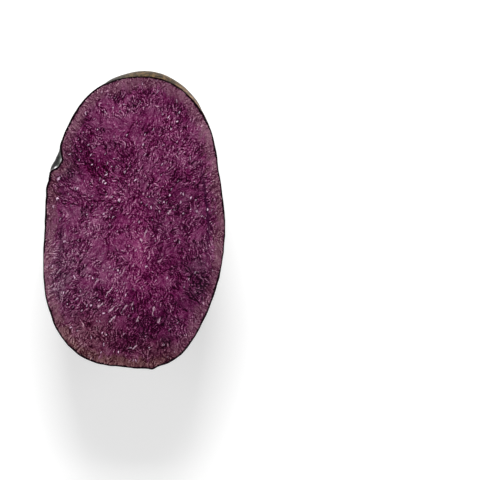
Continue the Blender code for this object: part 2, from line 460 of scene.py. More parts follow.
def bare_skin(azimuth, steepness):
    """Skin points at azimuths in degrees and at steepnesses from zero on the cut to one at the bottom.

    Each upright half-plane through the middle holds a quarter of a superellipse, drawn from the cut
    to the lowest point. Where the widest level lies under the cut, the curve starts above that level,
    and is made wider so that it still meets the cut's edge.
    """
    exponent = 2.0 / BACK_SQUARENESS
    drop = widest_drop(azimuth)
    start = -np.arcsin((drop / (DEPTH - drop)) ** (1.0 / exponent))
    turn = start + (math.pi / 2.0 - start) * steepness
    widest = cut_radius(azimuth) / np.cos(start) ** exponent
    reach = widest * np.clip(np.cos(turn), 0.0, 1.0) ** exponent
    level = -drop - (DEPTH - drop) * np.sign(turn) * np.abs(np.sin(turn)) ** exponent
    level = np.where(steepness == 0.0, 0.0, level)
    angle = np.radians(azimuth)
    return np.column_stack((reach * np.cos(angle), reach * np.sin(angle), level))


def skin_at(azimuth, steepness):
    """The bare skin's point at an azimuth and a steepness under the cut, both in degrees."""
    return bare_skin(np.array([azimuth]), np.array([steepness / 90.0]))[0]


def skin_along(turn, along):
    """The bare skin's point at a turn round the long axis in degrees and a distance along it in mm.

    The azimuth and the steepness are those of an ellipsoid as wide, long and deep as the half.
    """
    side, rise = math.radians(turn), math.asin(along / CUT_HALF_LENGTH)
    across = CUT_HALF_WIDTH * math.cos(side) * math.cos(rise)
    azimuth = math.degrees(math.atan2(along, across))
    steepness = math.degrees(math.asin(abs(math.sin(side)) * math.cos(rise)))
    return skin_at(azimuth, steepness)


def eyes():
    """Turn, distance along and size of each eye on this half, and whether the knife went through it.

    The eye that the knife went through is number zero, and the numbers rise towards the rose end.
    """
    found = []
    for number in EYE_NUMBERS:
        turn = (CUT_EYE_TURN + GOLDEN_ANGLE * number) % 360.0
        along = CUT_HALF_LENGTH - (CUT_HALF_LENGTH - CUT_EYE_ALONG) * EYE_CROWDING**number
        size = EYE_SHRINKS_BY ** max(number, 0)
        is_cut = number == 0
        if is_cut or EYE_TURNS_ON_THE_HALF[0] < turn < EYE_TURNS_ON_THE_HALF[1]:
            found.append((turn, along, size, is_cut))
    return found


def eye_relief(points, turn, along, size, is_cut):
    """How far one eye lifts the skin in mm, and how much of its hollow and its brow is at each point.

    On the skin, u runs from the bud towards the rose end and v across it. The hollow is a bell, steeper
    on its rose side. The bud is a small bell in it, crossed by grooves between its scales. The brow is
    a bell across a line that bends round the hollow on the stalk side, with a crease on either side.
    """
    middle = skin_along(turn, along)
    ahead = skin_along(turn, along + EYE_STEP)
    towards_rose = (ahead - middle) / np.linalg.norm(ahead - middle)
    outward = middle / np.linalg.norm(middle)
    across = np.cross(towards_rose, outward)
    across = across / np.linalg.norm(across)
    offset = (points - middle) / size
    u = offset @ towards_rose
    v = offset @ across
    near = (points @ middle) > 0.0
    rose_side = CUT_EYE_ROSE_SIDE if is_cut else EYE_ROSE_SIDE
    hollow = near * bell(u, np.where(u > 0.0, rose_side, EYE_STALK_SIDE)) * bell(v, EYE_HALF_ACROSS)
    brow_line = u + BROW_FROM_BUD - BROW_CURVE * v**2
    along_brow = near * bell(v**2, BROW_HALF_LENGTH**2)
    brow = bell(brow_line, BROW_THICKNESS) * along_brow
    lift = BROW_HEIGHT * brow
    for line in CREASE_LINES:
        lift = lift - CREASE_DEPTH * bell(brow_line - line, CREASE_THICKNESS) * along_brow
    if is_cut:
        lift = lift - CUT_EYE_DEPTH * hollow
    else:
        bud = near * bell(u, BUD_HALF_SIZE[0]) * bell(v, BUD_HALF_SIZE[1])
        lift = lift - EYE_DEPTH * hollow + BUD_HEIGHT * bud
        for line in SCALE_LINES:
            groove = bell(u - line - SCALE_CURVE * v**2, SCALE_THICKNESS) * bell(v, SCALE_HALF_LENGTH)
            lift = lift - SCALE_DEPTH * near * groove
    return lift * size, hollow, brow


def lump_relief(points, azimuth, steepness, height, spread):
    """A low lump or hollow of the back: a bell round its middle that fades to nothing at the cut."""
    distance = np.linalg.norm(points - skin_at(azimuth, steepness), axis=1)
    return height * bell(distance, spread) * (1.0 - bell(points[:, 2], LUMP_RIM_FADE))


def skin_points(azimuth, steepness, grain):
    """The finished skin, and how much of each hollow and brow of its eyes is at each point.

    Lumps, eyes, the scar of the stalk, the edge's unevenness and the grain move it along rays from the
    cut's middle. Those rays lie in the cut for every point on its edge, so the edge stays flat. The
    grain only sinks in.
    """
    points = bare_skin(azimuth, steepness)
    lift = edge_relief(points, azimuth)
    marks = {name: np.zeros(len(points)) for name in ("hollow", "cut_hollow", "brow")}
    for lump in LUMPS + FINE_LUMPS:
        lift = lift + lump_relief(points, *lump)
    for eye in eyes():
        eye_lift, eye_hollow, eye_brow = eye_relief(points, *eye)
        lift = lift + eye_lift
        kind = "cut_hollow" if eye[-1] else "hollow"
        marks[kind] = np.maximum(marks[kind], eye_hollow)
        marks["brow"] = np.maximum(marks["brow"], eye_brow)
    distance = np.linalg.norm(points - skin_at(STALK_SCAR_TOWARDS, 0.0), axis=1)
    lift = lift + STALK_SCAR_HEIGHT * bell(distance, STALK_SCAR_SPREAD)
    rough = sum(share * noise(points, size, seed) for share, size, seed in SKIN_NOISES)
    fade = GRAIN_BY_CUT + (1.0 - GRAIN_BY_CUT) * (1.0 - bell(points[:, 2], GRAIN_FADE))
    lift = lift - grain * (0.5 + 0.5 * rough) * fade
    reach = np.linalg.norm(points, axis=1)
    return points * ((reach + lift) / reach)[:, None], marks


def round_grid():
    """A square grid of cells pressed into a disc: azimuth in degrees and distance from its middle.

    Each square ring of the grid becomes a circle, and the points of each quarter of a ring are spread
    evenly along theirs.
    """
    line = np.linspace(-1.0, 1.0, CELLS + 1)
    across, along = np.meshgrid(line, line)
    wide = np.abs(across) >= np.abs(along)
    ring = np.where(wide, across, along)
    other = np.where(wide, along, across)
    share = np.divide(other, ring, out=np.zeros_like(ring), where=ring != 0.0) * math.pi / 4.0
    angle = np.where(wide, share, math.pi / 2.0 - share)
    x, y = ring * np.cos(angle), ring * np.sin(angle)
    azimuth = np.degrees(np.arctan2(y * CROWDING, x))
    return azimuth.ravel(), np.abs(ring).ravel()


def fibre_directions(points):
    """The way that the flesh's fibres run: away from both ends of the pith, the nearer one first.

    A lean to one side is mixed in. Fibres have no front or back, so the two ways are mixed as doubled
    angles.
    """
    total = np.zeros((len(points), 2))
    for end in PITH_ENDS:
        away = points[:, :2] - np.array(end)
        distance = np.maximum(np.linalg.norm(away, axis=1), PITH_NEAREST)[:, None]
        total = total + away / distance**3
    fan = 2.0 * np.arctan2(total[:, 1], total[:, 0])
    lean = 2.0 * math.radians(FIBRE_LEAN)
    weight = FIBRE_LEAN_WEIGHT + FIBRE_LEAN_BY_PITH * bell(points[:, 1] - PITH_MIDDLE, PITH_REACH)
    up = np.sin(fan) + weight * math.sin(lean)
    right = np.cos(fan) + weight * math.cos(lean)
    angle = np.arctan2(up, right) / 2.0
    return np.column_stack((np.cos(angle), np.sin(angle), np.zeros(len(points))))


def cut_points(azimuth, distance, grain):
    """The cut face, its points' distance from the edge, the way that their fibres run and their roughness.

    The edge's outline is shrunk towards the middle. The distance from the edge is the rest of the ray,
    times the cosine of the angle between the ray and a line square to the edge. The grain is noise
    drawn out along the fibres, and sinks in everywhere but at the edge, where the skin stands up.
    """
    step = 0.1
    rim, _ = skin_points(azimuth, np.zeros(len(azimuth)), 0.0)
    beside, _ = skin_points(azimuth + step, np.zeros(len(azimuth)), 0.0)
    rim_reach = np.linalg.norm(rim, axis=1)
    slope = (np.linalg.norm(beside, axis=1) - rim_reach) / math.radians(step) / rim_reach
    from_edge = (1.0 - distance) * rim_reach / np.sqrt(1.0 + slope**2)
    points = rim * distance[:, None]
    fibres = fibre_directions(points)
    streaks = np.zeros(len(points))
    for place in STREAK_PLACES:
        streaks = streaks + noise(points + fibres * place * STREAK_STEP, *STREAK_NOISE) / len(STREAK_PLACES)
    rough = np.clip(STREAK_SHARE * streaks + CRUMB_SHARE * noise(points, *CRUMB_NOISE), -1.0, 1.0)
    high = np.clip(0.5 + 0.5 * rough + ridges(points), 0.0, 1.0)
    points[:, 2] = -grain * (1.0 - high) * smooth_step(from_edge / GRAIN_FROM_SKIN)
    return points, from_edge, fibres, rough


def own_axes(points, middle, turn):
    """Distances from a middle along and across a direction in the cut, which is given in degrees."""
    angle = math.radians(turn)
    x, y = points[:, 0] - middle[0], points[:, 1] - middle[1]
    return x * math.cos(angle) + y * math.sin(angle), y * math.cos(angle) - x * math.sin(angle)


def ridges(points):
    """How much of a pale ridge is at each point: bells across short, slightly bent strokes."""
    found = np.zeros(len(points))
    for middle, half_length, turn, strength in RIDGES:
        along, across = own_axes(points, middle, turn)
        across = across + RIDGE_BEND * np.sin(RIDGE_WAVE * along)
        found = np.maximum(found, strength * bell(across, RIDGE_HALF_WIDTH) * bell(along, half_length) ** 2)
    return found


def patches(points, table):
    """The sum of soft oval patches: bells along and across their own turned axes, times a strength."""
    total = np.zeros(len(points))
    for x, y, half_along, half_across, turn, strength in table:
        along, across = own_axes(points, (x, y), turn)
        total = total + strength * bell(along, half_along) * bell(across, half_across)
    return total


def painted_highlight_spots(points):
    """How much of a painted highlight is at each point: white spots for light off wet skin, bells a little
    under the edge of the cut.
    """
    found = np.zeros(len(points))
    for middle, size in PAINTED_HIGHLIGHT_SPOTS:
        distance = np.hypot(points[:, 0] - middle[0], points[:, 1] - middle[1])
        found = np.maximum(found, bell(distance, size))
    return found * bell(points[:, 2] + PAINTED_HIGHLIGHT_UNDER, PAINTED_HIGHLIGHT_REACH)


def rose_end_marks(points):
    """How much olive brown skin there is at each point, how much of it is dark, and how much is pale.

    It lies under the edge at the rose end, and is partly russet and partly painted light where it faces
    the light. Each share is a bell or an eased step across directions round the cut, and all but the dark
    one fall with the depth under the cut.
    """
    towards = np.degrees(np.arctan2(points[:, 1], points[:, 0]))
    depth = -points[:, 2]
    near_edge = 1.0 - smooth_step((depth - LIT_RUSSET_FALL[0]) / LIT_RUSSET_FALL[1])
    lit_russet = bell(turned_from(towards, LIT_RUSSET_TOWARDS[0]), LIT_RUSSET_TOWARDS[1]) * near_edge
    pale = smooth_step((LIT_RUSSET_PALE_FROM - towards) / LIT_RUSSET_PALE_OVER)
    pale = pale * bell(depth - LIT_RUSSET_PALE_UNDER[0], LIT_RUSSET_PALE_UNDER[1])
    return {
        "lit_russet": np.minimum(LIT_RUSSET_STRENGTH * lit_russet, 1.0),
        "lit_russet_dark": bell(turned_from(towards, LIT_RUSSET_DARK_TOWARDS[0]), LIT_RUSSET_DARK_TOWARDS[1]),
        "lit_russet_pale": pale * lit_russet,
    }


def quads(index):
    """The cells of a grid of point numbers, counter-clockwise as seen from above."""
    corners = (index[:-1, :-1], index[:-1, 1:], index[1:, 1:], index[1:, :-1])
    return np.stack(corners, axis=-1).reshape(-1, 4)


def set_down(points):
    """Set the half in the solid's box: the box's middle over the origin and the cut at its top."""
    middle = (points.min(axis=0) + points.max(axis=0)) / 2.0 * MM
    offset = np.array([-middle[0], -middle[1], BOX_HIGH[2]])
    return np.clip(points * MM + offset, BOX_LOW, BOX_HIGH), offset / MM


def write_attribute(mesh, name, kind, values):
    """Keep values on the mesh's points, under a name that its materials read."""
    field = "vector" if kind == "FLOAT_VECTOR" else "value"
    attribute = mesh.attributes.new(name, kind, "POINT")
    attribute.data.foreach_set(field, np.ascontiguousarray(values, np.float32).ravel())


def half_mesh(looks):
    """The half as one closed mesh: a cut sheet and a skin sheet that share the cut's edge."""
    azimuth, distance = round_grid()
    skin, marks = skin_points(azimuth, 1.0 - distance, looks.skin_relief)
    marks.update(rose_end_marks(skin))
    # White painted highlights on the cut eye's hollow
    marks["painted_highlight"] = painted_highlight_spots(skin)
    cut, from_edge, fibres, rough = cut_points(azimuth, distance, looks.flesh_relief)
    side = CELLS + 1
    is_inner = np.zeros((side, side), bool)
    is_inner[1:-1, 1:-1] = True
    skin_index = np.arange(side * side).reshape(side, side)
    cut_index = skin_index.copy()
    cut_index[is_inner] = side * side + np.arange(is_inner.sum())
    is_inner = is_inner.ravel()
    flat = np.vstack((skin, cut[is_inner]))
    points, offset = set_down(flat)

    faces = np.vstack((quads(skin_index)[:, ::-1], quads(cut_index)))
    mesh = bpy.data.meshes.new(PIECE)
    mesh.from_pydata(points.astype(np.float32).tolist(), [], faces.tolist())
    mesh.materials.append(skin_material(looks))
    mesh.materials.append(flesh_material(looks, offset))
    is_cut = np.arange(len(faces)) >= len(faces) // 2
    mesh.polygons.foreach_set("material_index", is_cut.astype(np.int32))
    mesh.shade_smooth()
    mesh.set_sharp_from_angle(angle=math.radians(SHARP_EDGE))

    values = {name: np.concatenate((found, np.zeros(is_inner.sum()))) for name, found in marks.items()}
    values["from_edge"] = np.concatenate((np.zeros(len(skin)), from_edge[is_inner]))
    values["rough"] = np.concatenate((rough, rough[is_inner]))
    for name, table in PATCHES.items():
        values[name] = patches(flat, table)
    for name, found in values.items():
        write_attribute(mesh, name, "FLOAT", found)
    write_attribute(mesh, "fibre", "FLOAT_VECTOR", np.vstack((fibres, fibres[is_inner])))
    mesh.update()
    return mesh, offset


class Nodes:
    """Short ways to add nodes to one material or group."""

    def __init__(self, tree):
        self.tree = tree

    def plug(self, socket, value):
        """Link a socket to another one, or set its value."""
        if isinstance(value, bpy.types.NodeSocket):
            self.tree.links.new(value, socket)
        else:
            socket.default_value = value

    def add(self, kind, inputs=None, **settings):
        """A shader node of a kind, with settings, and with inputs by name or number."""
        made = self.tree.nodes.new("ShaderNode" + kind)
        for name, value in settings.items():
            setattr(made, name, value)
        for key, value in (inputs or {}).items():
            self.plug(made.inputs[key], value)
        return made

    def math(self, operation, first, second=0.0, third=0.0):
        """One step of arithmetic with up to three values."""
        made = self.add("Math", {0: first, 1: second, 2: third}, operation=operation)
        return made.outputs[0]

    def plus(self, first, second):
        """The sum of two values."""
        return self.math("ADD", first, second)

    def times(self, first, second):
        """The product of two values."""
        return self.math("MULTIPLY", first, second)

    def summed(self, fields, start=0.0, **weights):
        """A start plus each named field times its weight, where noises count from their mean."""
        total = start
        for name, weight in weights.items():
            value = self.math("SUBTRACT", fields[name], MEAN) if name in NOISES else fields[name]
            total = self.math("MULTIPLY_ADD", value, weight, total)
        return total

    def vector_math(self, operation, first, second):
        """One step of arithmetic with two vectors."""
        made = self.add("VectorMath", {0: first, 1: second}, operation=operation)
        return made.outputs[0]

    def scaled(self, vector, factor):
        """A vector times a value."""
        made = self.add("VectorMath", {0: vector, "Scale": factor}, operation="SCALE")
        return made.outputs[0]

    def turned(self, vector, angle):
        """A vector turned round the upright axis by an angle in radians."""
        inputs = {"Vector": vector, "Angle": angle}
        return self.add("VectorRotate", inputs, rotation_type="Z_AXIS").outputs[0]

    def remap(self, value, low, high, to_low=0.0, to_high=1.0):
        """A value between two limits, eased, as a value between two others."""
        inputs = {0: value, 1: low, 2: high, 3: to_low, 4: to_high}
        return self.add("MapRange", inputs, interpolation_type="SMOOTHSTEP").outputs[0]

    def remap_straight(self, value, low, high):
        """A value between two limits as a share of the way."""
        inputs = {0: value, 1: low, 2: high, 3: 0.0, 4: 1.0}
        return self.add("MapRange", inputs, interpolation_type="LINEAR").outputs[0]

    def mix(self, factor, first, second):
        """Two colours mixed by a factor."""
        return self.add("Mix", {0: factor, 6: first, 7: second}, data_type="RGBA").outputs[2]

    def split(self, colour_or_place, kind="SeparateColor"):
        """The three channels of a colour, or with the other kind of node the three parts of a place."""
        return self.add(kind, {0: colour_or_place}).outputs

    def noise_node(self, vector, scale, detail, roughness=0.5):
        """A noise of a scale in grains per mm."""
        inputs = {"Vector": vector, "Scale": scale, "Detail": detail, "Roughness": roughness}
        return self.add("TexNoise", inputs)

    def noise(self, vector, scale, detail, roughness=0.5):
        """The value of a noise."""
        return self.noise_node(vector, scale, detail, roughness).outputs["Fac"]

    def coloured_noise(self, vector, scale, detail):
        """The colour of a noise, whose channels differ."""
        return self.noise_node(vector, scale, detail).outputs["Color"]

    def attribute(self, name):
        """A value kept on the piece."""
        return self.add("Attribute", attribute_name=name).outputs["Fac"]

    def place_in_mm(self):
        """The point on the object in millimetres."""
        return self.scaled(self.add("TexCoord").outputs["Object"], 1.0 / MM)

    def group(self, tree, inputs):
        """The outputs of a shader group with values for its named inputs."""
        return self.add("Group", inputs, node_tree=tree).outputs


def seen(name):
    """The linear colour of a single mark."""
    return srgb(*MARKS[name])


def new_group(name, inputs, outputs):
    """An empty shader group with named inputs and outputs, which are numbers or vectors."""
    group = bpy.data.node_groups.new(name, "ShaderNodeTree")
    for direction, labels in (("INPUT", inputs), ("OUTPUT", outputs)):
        for label in labels:
            kind = "NodeSocketVector" if label in VECTORS else "NodeSocketFloat"
            group.interface.new_socket(name=label, in_out=direction, socket_type=kind)
    entry = group.nodes.new("NodeGroupInput")
    leave = group.nodes.new("NodeGroupOutput")
    return Nodes(group), entry.outputs, leave.inputs


def new_material(name):
    """A material with its own Principled BSDF, and the short ways to add nodes to it."""
    material = bpy.data.materials.new(name)
    material.use_nodes = True
    return material, Nodes(material.node_tree), material.node_tree.nodes["Principled BSDF"]


def flecks_group(dimensions):
    """Short flecks, one in some of the cells of a warped mesh of cells, drawn out along one direction.

    A fleck's strength falls with the distance from its cell's middle, and only the cells whose random
    number is under the share have one. Two dimensions suit the flat cut, and three the round skin.
    """
    name = "flecks_" + dimensions
    if name in bpy.data.node_groups:
        return bpy.data.node_groups[name]
    inputs = ("Place", "Turn", "Stretch", "Scale", "Share", "Size", "Warp")
    made, entry, leave = new_group(name, inputs, ("Strength", "Halo", "Chance"))
    offset = made.vector_math("SUBTRACT", made.coloured_noise(entry["Place"], 0.9, 1.0), MEANS)
    warped = made.vector_math("ADD", entry["Place"], made.scaled(offset, entry["Warp"]))
    shrink = made.add("CombineXYZ", {0: entry["Stretch"], 1: 1.0, 2: 1.0})
    stretched = made.vector_math("MULTIPLY", made.turned(warped, entry["Turn"]), shrink.outputs[0])
    cells = made.add(
        "TexVoronoi",
        {"Vector": stretched, "Scale": entry["Scale"], "Randomness": 1.0},
        feature="F1",
        voronoi_dimensions=dimensions,
    )
    chances = made.split(cells.outputs["Color"])
    chosen = made.math("LESS_THAN", chances[0], entry["Share"])
    size = made.times(entry["Size"], made.remap(chances[1], 0.0, 1.0, 0.5, 1.0))
    near = made.math("SUBTRACT", 1.0, made.math("DIVIDE", cells.outputs["Distance"], size))
    made.plug(leave["Strength"], made.times(made.remap(near, 0.0, 0.7), chosen))
    made.plug(leave["Halo"], made.times(made.remap(near, -1.1, -0.1), chosen))
    made.plug(leave["Chance"], chances[2])
    return made.tree


def flecks(made, place, dimensions, turn, stretch, scale, share, size, warp):
    """The flecks group in a material, with its own values and its turn in degrees."""
    values = {
        "Place": place,
        "Turn": math.radians(turn),
        "Stretch": stretch,
        "Scale": scale,
        "Share": share,
        "Size": size,
        "Warp": warp,
    }
    return made.group(flecks_group(dimensions), values)


def stroke_group():
    """One pale stroke on the cut, slightly bent, and the painted shade line along its upper side."""
    if "stroke" in bpy.data.node_groups:
        return bpy.data.node_groups["stroke"]
    inputs = ("Place", "Middle", "Turn", "Half Length")
    made, entry, leave = new_group("stroke", inputs, ("Strength", "Shade"))
    offset = made.vector_math("SUBTRACT", entry["Place"], entry["Middle"])
    parts = made.split(made.turned(offset, made.times(entry["Turn"], -1.0)), "SeparateXYZ")
    along, across = parts[0], parts[1]
    across = made.plus(across, made.times(made.math("SINE", made.times(along, RIDGE_WAVE)), RIDGE_BEND))
    length = entry["Half Length"]
    from_middle = made.math("ABSOLUTE", along)
    past = made.math("MAXIMUM", made.math("SUBTRACT", from_middle, length), 0.0)
    taper = made.remap(made.math("DIVIDE", from_middle, made.plus(length, 0.3)), 0.2, 1.1, 1.0, 0.45)
    for label, shift, half_width in (("Strength", 0.0, 0.24), ("Shade", 0.4, 0.36)):
        away = made.math("SUBTRACT", across, shift)
        squares = made.plus(made.math("POWER", past, 2.0), made.math("POWER", away, 2.0))
        distance = made.math("DIVIDE", made.math("SQRT", squares), taper)
        made.plug(leave[label], made.remap(distance, 0.0, half_width, 1.0, 0.0))
    return made.tree


def contour_group():
    """Thin, winding lines where a noise passes through its middle value."""
    if "contour" in bpy.data.node_groups:
        return bpy.data.node_groups["contour"]
    made, entry, leave = new_group("contour", ("Place", "Scale", "Width"), ("Strength",))
    value = made.noise(entry["Place"], entry["Scale"], 1.0)
    away = made.math("ABSOLUTE", made.math("SUBTRACT", value, MEAN))
    made.plug(leave["Strength"], made.remap(away, 0.0, entry["Width"], 1.0, 0.0))
    return made.tree


def contour(made, place, scale, width):
    """The contour group in a material: how much of a line is at a place."""
    return made.group(contour_group(), {"Place": place, "Scale": scale, "Width": width})["Strength"]


def tone_colour(made, tone, colours):
    """The colour at a tone, read from the colours at the stops."""
    low, high = TONE_RANGE
    ramp = made.add("ValToRGB", {0: made.remap_straight(tone, low, high)})
    elements = ramp.color_ramp.elements
    while len(elements) < len(colours):
        elements.new(0.5)
    for element, stop, one in zip(elements, TONE_STOPS, colours):
        element.position = (stop - low) / (high - low)
        element.color = srgb(*one)
    return ramp.outputs[0]


def along_fibres(made, place, fibre, step, scale):
    """Noise averaged over a few places in a row along the fibres, so that its grains are drawn out."""
    total = 0.0
    for number in range(SHADER_PLACES):
        shift = (number - (SHADER_PLACES - 1) / 2.0) * step
        shifted = made.vector_math("ADD", place, made.scaled(fibre, shift))
        total = made.plus(total, made.noise(shifted, scale, 1.0))
    return made.math("DIVIDE", total, float(SHADER_PLACES))


def finish(made, shader, base, roughness, height, relief):
    """Plug a colour, a roughness and a height with its relief in mm into a material's shader."""
    bump = made.add("Bump", {"Height": height, "Strength": 1.0, "Distance": relief * MM})
    made.plug(shader.inputs["Base Color"], base)
    made.plug(shader.inputs["Roughness"], roughness)
    made.plug(shader.inputs["Normal"], bump.outputs["Normal"])


def flesh_noises(made, place):
    """The noises of the cut: grain along curled fibres, wider streaks and clumps, clouds and arcs."""
    fibre = made.add("Attribute", attribute_name="fibre").outputs["Vector"]
    warp = made.vector_math("SUBTRACT", made.coloured_noise(place, 0.5, 2.0), MEANS)
    warped = made.vector_math("ADD", place, made.scaled(warp, 1.6))
    curl = made.math("MULTIPLY_ADD", made.noise(place, 0.4, 1.0), 5.5, -5.5 * MEAN)
    chances = made.split(made.coloured_noise(place, 0.6, 1.0))
    wide_arcs = made.times(contour(made, warped, 0.62, 0.022), made.remap(chances[0], 0.5, 0.6))
    fine_arcs = made.times(contour(made, place, 1.15, 0.035), made.remap(chances[1], 0.46, 0.56))
    return {
        "grain": along_fibres(made, place, made.turned(fibre, curl), 0.23, 2.6),
        "streaks": along_fibres(made, warped, fibre, 0.45, 0.95),
        "clumps": along_fibres(made, warped, fibre, 0.9, 0.5),
        "clouds": made.noise(place, 0.15, 2.0),
        "dust": made.noise(place, 3.6, 0.0),
        "tint": made.noise(warped, 0.28, 3.0, 0.8),
        "calm": made.remap(made.noise(warped, 0.3, 1.0), 0.5, 0.62),
        "arcs": made.math("MAXIMUM", wide_arcs, fine_arcs),
    }


def flesh_glints(made, place, fields):
    """Small and large painted glints, dimmer by the edge, with the large ones' painted dark halo and
    brightness.
    """
    inside = made.remap(fields["from_edge"], 1.0, 3.4, 0.15, 1.0)
    crowded = made.math("MULTIPLY_ADD", fields["glints"], 0.38, 0.13)
    small = flecks(made, place, "2D", turn=-66, stretch=0.46, scale=1.5, share=0.35, size=0.28, warp=1.0)
    large = flecks(made, place, "2D", turn=-62, stretch=0.44, scale=0.95, share=crowded, size=0.25, warp=1.4)
    return {
        "small": made.times(small["Strength"], inside),
        "large": made.times(large["Strength"], inside),
        "halo": made.times(large["Halo"], inside),
        "bright": made.remap(large["Chance"], 0.0, 0.8, 0.35, 1.0),
    }


def flesh_tone(made, fields):
    """The lightness of the cut, in spreads from its mean; calm places have less of the fine grain."""
    lively = made.math("MULTIPLY_ADD", fields["calm"], -0.51282, 0.82051)
    crumbs = made.times(made.summed(fields, grain=16.5, dust=4.5), lively)
    # The relief's noise darkens the cut's pits and lightens its ridges: painted shade and light
    tone = made.summed(fields, -0.3425, calm=0.55, streaks=3.2, clumps=2.9, clouds=2.6, arcs=1.2, rough=0.5)
    # Small glints are painted lighter, and a painted dark halo rings each large glint
    tone = made.summed(fields, tone, pale=0.75, dark=-1.0, small=1.9, halo=-1.1)
    return made.math("MULTIPLY_ADD", crumbs, 1.66, tone)


def flesh_colour(made, looks, fields, tone):
    """The colour at each tone: greyer, redder, brownish or rosy by place, and that of the outer band."""
    at_tone = {name: tone_colour(made, tone, colours) for name, colours in TONES.items()}
    grey = made.summed(fields, grey=1.0, tint=2.3)
    found = made.mix(made.remap_straight(grey, 0.0, 1.0), at_tone["flesh"], at_tone["grey"])
    found = made.mix(made.remap_straight(grey, 0.0, -1.0), found, at_tone["red"])
    found = made.mix(fields["earthy"], found, at_tone["brown"])
    found = made.mix(fields["rosy"], found, at_tone["rosy"])
    band = made.mix(fields["brown"], at_tone["band"], at_tone["brown"])
    wander = made.summed(fields, from_edge=1.0, clumps=7.0, streaks=5.0, grain=3.0, grey=1.3)
    in_band = made.remap(wander, looks.outer_band - 0.9, looks.outer_band + 1.3, 1.0, 0.0)
    found = made.mix(in_band, found, band)
    from_ring = made.math("ABSOLUTE", made.summed(fields, -RING_FROM_EDGE, from_edge=1.0, streaks=1.0))
    in_ring = made.times(made.remap(from_ring, 0.1, 0.55, 0.95, 0.0), fields["ring"])
    return made.mix(in_ring, found, seen("vessels"))


def torn_fibres(made, place, offset):
    """How much of a torn fibre, with its painted highlight, and of its painted shade is at each place; a
    noise makes the strokes uneven.
    """
    flat = made.vector_math("SUBTRACT", place, (float(offset[0]), float(offset[1]), 0.0))
    flat = made.vector_math("MULTIPLY", flat, (1.0, 1.0, 0.0))
    chances = made.split(made.coloured_noise(place, 1.1, 2.0))
    shift = made.add("CombineXYZ", {0: chances[0], 1: chances[1], 2: MEAN})
    shift = made.vector_math("SUBTRACT", shift.outputs[0], MEANS)
    flat = made.vector_math("ADD", flat, made.scaled(shift, 1.5))
    stroke, shade = 0.0, 0.0
    for middle, half_length, turn, strength in RIDGES:
        values = {
            "Place": flat,
            "Middle": (middle[0], middle[1], 0.0),
            "Turn": math.radians(turn),
            "Half Length": half_length,
        }
        one = made.group(stroke_group(), values)
        stroke = made.math("MAXIMUM", stroke, made.times(one["Strength"], strength))
        shade = made.math("MAXIMUM", shade, made.times(one["Shade"], strength))
    return stroke, shade


def flesh_material(looks, offset):
    """The wet cut: grain along the fibres, a rosy pith, a paler outer band, the skin's line and painted
    glints.
    """
    material, made, shader = new_material("potato_flesh")
    place = made.place_in_mm()
    fields = {name: made.attribute(name) for name in (*PATCHES, "from_edge", "rough")}
    fields.update(flesh_noises(made, place))
    fields.update(flesh_glints(made, place, fields))
    found = flesh_colour(made, looks, fields, flesh_tone(made, fields))

    stroke, shade = torn_fibres(made, place, offset)
    stroke = made.times(stroke, made.remap(fields["grain"], 0.35, 0.5, 0.45, 1.0))
    # Torn fibres: pale with a painted highlight, and a painted shade line beside each
    found = made.mix(made.times(shade, 0.6), found, seen("torn fibre shade"))
    found = made.mix(stroke, found, seen("torn fibre highlight"))
    # Large glints painted into the colour
    found = made.mix(made.times(fields["large"], fields["bright"]), found, seen("glint"))
    edge = made.summed(fields, from_edge=1.0, streaks=0.9, grain=0.5, clouds=0.9, thin=0.2)
    on_skin = made.remap(edge, looks.skin_line * 0.8, looks.skin_line * 1.25, 1.0, 0.0)
    found = made.mix(on_skin, found, seen("skin line"))

    height = made.summed(fields, grain=1.0, streaks=1.0, arcs=0.12, small=0.15, large=0.25)
    glint = made.math("MAXIMUM", fields["small"], fields["large"])
    finish(made, shader, found, made.remap(glint, 0.0, 1.0, 0.34, 0.2), height, 0.5)
    shader.inputs["Specular IOR Level"].default_value = 0.02
    return material


def lit_russet_colour(made, looks, mottled, under, marks):
    """The skin under the edge at the rose end: olive brown, partly russet and partly painted light, blackish
    at the left, pale by the cut and darker further down.
    """
    found = made.mix(made.remap(mottled, 0.34, 0.64), seen("lit russet dark"), tuple(looks.lit_russet))
    pale = made.times(marks["lit_russet_pale"], made.remap(mottled, 0.3, 0.6, 0.2, 0.9))
    found = made.mix(pale, found, seen("lit russet pale"))
    shaded = made.mix(made.remap(mottled, 0.35, 0.75), seen("blackish"), seen("greyish"))
    found = made.mix(marks["lit_russet_dark"], found, shaded)
    return made.mix(made.remap(under, 3.5, 7.0, 0.0, 0.45), found, seen("lit russet low"))


def cut_hollow_colour(made, mottled, grain, under, painted_highlight):
    """The cut eye's hollow: grey, with a painted lit band by the cut, dark further down, and white painted
    highlights.
    """
    found = made.mix(made.remap(mottled, 0.35, 0.7), seen("cut hollow"), seen("cut hollow pale"))
    found = made.mix(made.remap(under, 2.1, 3.3), found, seen("cut hollow deep"))
    lit = made.times(made.remap(under, 0.6, 1.7, 1.0, 0.0), made.remap(grain, 0.4, 0.55, 0.3, 0.9))
    found = made.mix(lit, found, seen("cut hollow lit"))
    return made.mix(made.times(painted_highlight, 1.25), found, seen("painted_highlight"))


